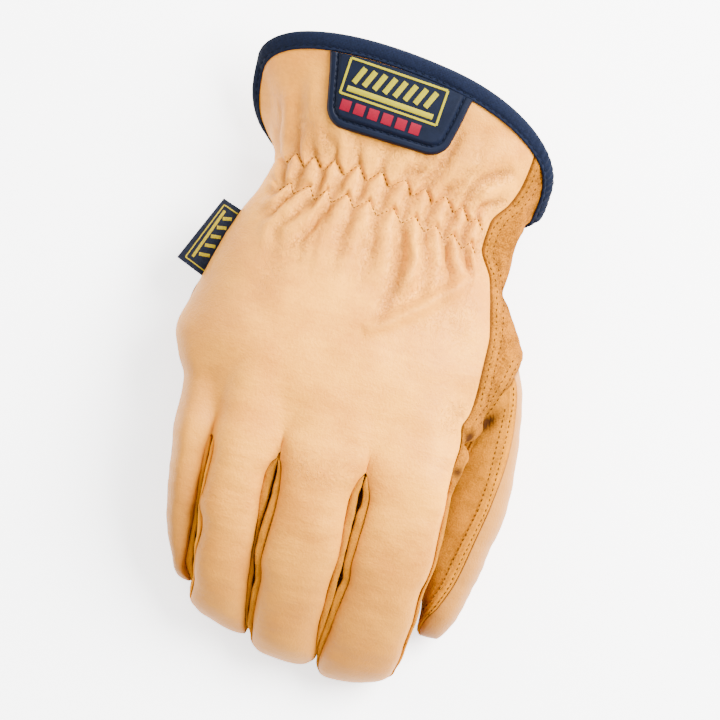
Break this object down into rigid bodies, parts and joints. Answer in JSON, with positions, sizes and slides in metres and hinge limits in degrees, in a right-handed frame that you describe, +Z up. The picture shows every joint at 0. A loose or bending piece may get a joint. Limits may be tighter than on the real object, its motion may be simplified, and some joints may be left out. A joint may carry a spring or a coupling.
{
  "type": "leather driver glove",
  "caption": "Right-hand leather work glove lying palm down, with curved fingers, suede palm and thumb, elastic gathers at the wrist and a bound flared cuff.",
  "frame": {"origin": "middle of the glove's outline, on the surface that it lies on, palm down", "axes": "+Z up out of the back of the hand, +Y from the fingertips towards the cuff, +X towards the thumb"},
  "size_m": [0.1343, 0.221, 0.0509],
  "materials": {
    "grain_leather": "smooth grain, satin",
    "suede": "napped, matte",
    "binding_fabric": "woven, matte",
    "patch_rubber": "moulded, satin",
    "tag_weave": "woven, matte"
  },
  "bodies": {
    "root": {"back_panel": "grain_leather", "palm_panel": "suede", "pinky_back": "grain_leather", "pinky_front": "suede", "ring_back": "grain_leather", "ring_front": "suede", "middle_back": "grain_leather", "middle_front": "suede", "index_back": "grain_leather", "index_front": "suede", "gusset_pinky_ring": "suede", "gusset_ring_middle": "suede", "gusset_middle_index": "suede", "thumb_back": "grain_leather", "thumb_front": "suede", "cuff_binding": "binding_fabric", "label_patch": "patch_rubber", "side_tag": "tag_weave"}
  },
  "joints": []
}
